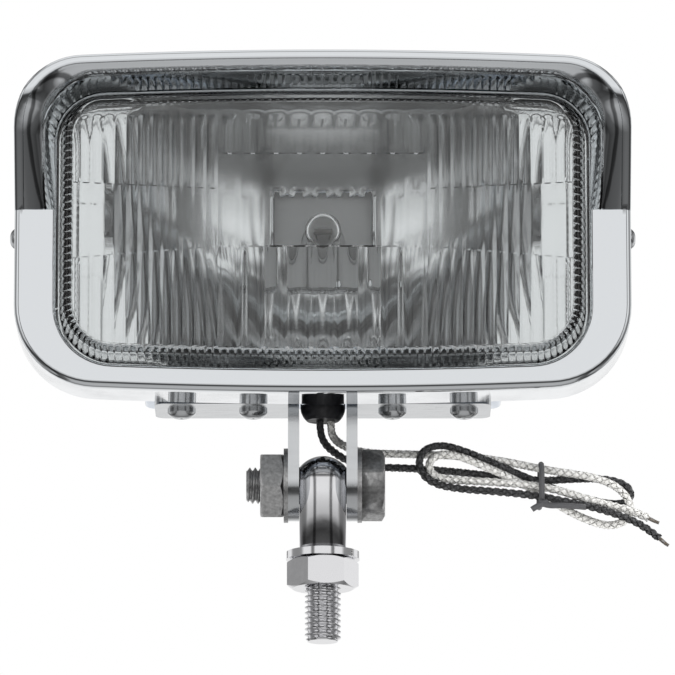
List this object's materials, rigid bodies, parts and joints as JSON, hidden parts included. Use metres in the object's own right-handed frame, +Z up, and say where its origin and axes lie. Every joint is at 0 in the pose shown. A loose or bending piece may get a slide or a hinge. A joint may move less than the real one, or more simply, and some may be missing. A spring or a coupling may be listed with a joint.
{
  "type": "fog light",
  "caption": "Rectangular chromed fog light with an integral visor and a fluted glass lens, tilting between two ears on an M10 swivel stud, with two braided leads.",
  "frame": {"origin": "on the stud's axis, at the lower face of the stud nut, where the free thread starts", "axes": "+Z up along the stud towards the lamp, the lens faces -Y, +X to the right as seen from the front, along the tilt axis"},
  "size_m": [0.181, 0.0731, 0.1547],
  "materials": {
    "polished_zinc_nickel": "bright plated",
    "dull_zinc": "dull zinc plated",
    "chromed_steel": "mirror chrome",
    "pressed_glass": "clear pressed glass with flutes",
    "black_rubber": "moulded",
    "aluminised_mirror": "vacuum aluminised",
    "bright_sheet": "bright rolled sheet",
    "quartz_glass": "clear",
    "tungsten": "drawn wire",
    "insulating_sleeve": "translucent sleeve",
    "tinned_copper": "tinned",
    "black_braid": "braided sleeve",
    "white_braid": "braided sleeve",
    "tie_plastic": "plastic covered wire"
  },
  "bodies": {
    "stand": {"swivel_stud": "polished_zinc_nickel", "stud_washer": "polished_zinc_nickel", "stud_nut": "polished_zinc_nickel"},
    "lamp": {"backing_strips": "dull_zinc", "bezel": "chromed_steel", "bezel_nuts": "dull_zinc", "bezel_screws": "polished_zinc_nickel", "bracket_left": "chromed_steel", "bracket_nuts": "dull_zinc", "bracket_right": "chromed_steel", "bracket_screws": "polished_zinc_nickel", "bulb_base": "bright_sheet", "bulb_clip": "bright_sheet", "bulb_connector": "insulating_sleeve", "bulb_filament": "tungsten", "bulb_glass": "quartz_glass", "bulb_holder": "bright_sheet", "bulb_tail": "white_braid", "earth_screw": "dull_zinc", "earth_tag": "tinned_copper", "grommet": "black_rubber", "housing": "chromed_steel", "inner_lead_black": "black_braid", "inner_lead_white": "white_braid", "lead_black": "black_braid", "lead_hank": "white_braid", "lead_tie": "tie_plastic", "lead_white": "white_braid", "lens": "pressed_glass", "lens_gasket": "black_rubber", "pivot_bolt": "dull_zinc", "pivot_nut": "dull_zinc", "pivot_washer_left": "dull_zinc", "pivot_washer_right": "dull_zinc", "reflector": "aluminised_mirror", "strands_black": "tinned_copper", "strands_white": "tinned_copper", "tail_black": "black_braid", "tail_white": "white_braid"}
  },
  "joints": [
    {"name": "lamp_tilt", "type": "hinge", "parent": "stand", "child": "lamp", "pos_m": [0, 0, 0.0286], "axis": [1, 0, 0], "range_deg": [-60, 60]}
  ]
}
